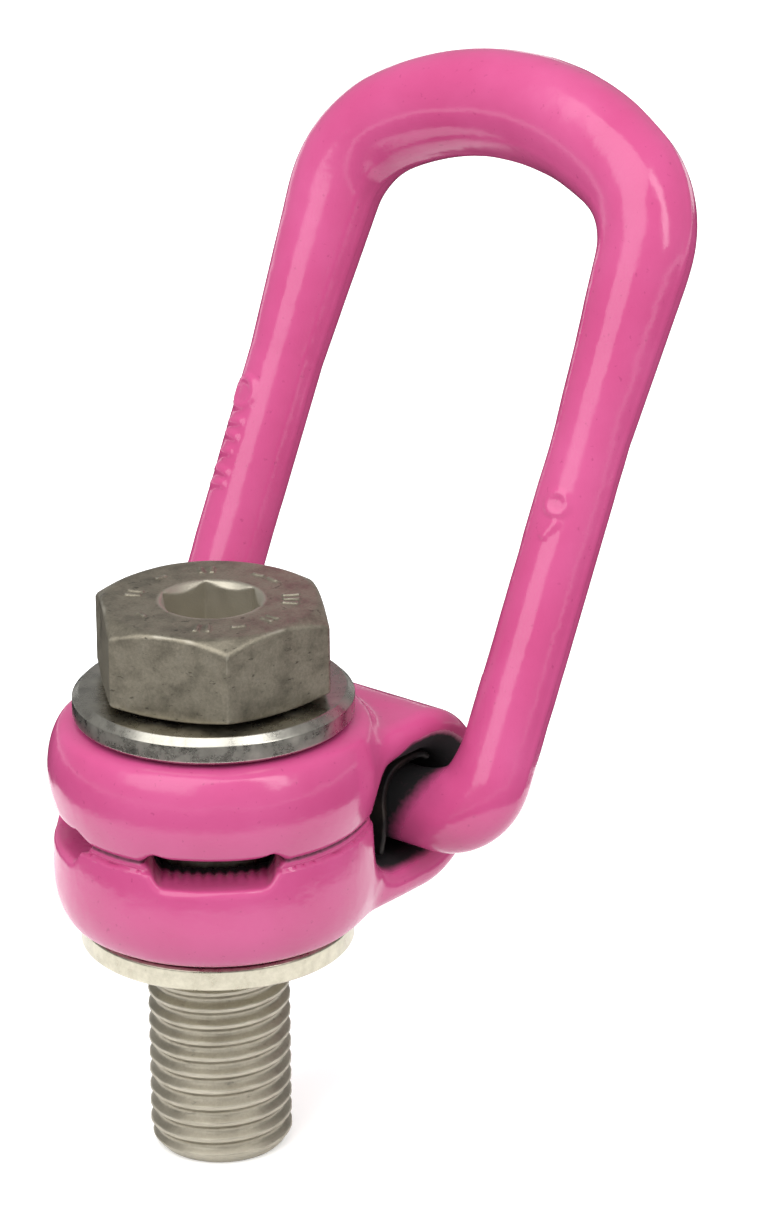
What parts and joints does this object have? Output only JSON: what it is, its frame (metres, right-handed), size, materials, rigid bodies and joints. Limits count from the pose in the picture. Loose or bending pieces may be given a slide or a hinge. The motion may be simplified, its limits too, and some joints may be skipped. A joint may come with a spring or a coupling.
{
  "type": "swivel load ring",
  "caption": "Bolted lifting point: a forged housing swivels on a flanged bush round a hexagon bolt and carries a hinged suspension link.",
  "frame": {"origin": "on the bolt's axis, at the seat of the bush flange, where the object meets the load it is bolted to", "axes": "+Z along the bolt from its tip to its head, +X from the bolt towards the link's crossbar, Y along that crossbar"},
  "size_m": [0.0797, 0.055, 0.1139],
  "materials": {
    "pink_powder": "satin powder coat over forged steel",
    "bolt_coating": "matt zinc flake",
    "zinc_plate": "mottled zinc plate",
    "bright_zinc": "turned, bright zinc plate",
    "spring_steel": "blackened"
  },
  "bodies": {
    "bush": {"flanged_bush": "bright_zinc"},
    "retainer": {"captive_ring": "spring_steel"},
    "bolt": {"bolt": "bolt_coating"},
    "washer": {"washer": "zinc_plate"},
    "swivel": {"housing": "pink_powder", "link_spring": "spring_steel"},
    "link": {"suspension_link": "pink_powder"}
  },
  "joints": [
    {"name": "bolt_lift", "type": "slide", "parent": "bush", "child": "retainer", "axis": [0, 0, 1], "range_m": [0, 0.003]},
    {"name": "bolt_turn", "type": "hinge", "parent": "retainer", "child": "bolt", "pos_m": [0, 0, 0], "axis": [0, 0, 1], "continuous": true},
    {"name": "washer_turn", "type": "hinge", "parent": "bush", "child": "washer", "pos_m": [0, 0, 0.0283], "axis": [0, 0, 1], "continuous": true},
    {"name": "housing_swivel", "type": "hinge", "parent": "bush", "child": "swivel", "pos_m": [0, 0, 0.0148], "axis": [0, 0, 1], "continuous": true},
    {"name": "link_swing", "type": "hinge", "parent": "swivel", "child": "link", "pos_m": [0.01894, 0, 0.01255], "axis": [0, 1, 0], "range_deg": [-77, 66]}
  ]
}
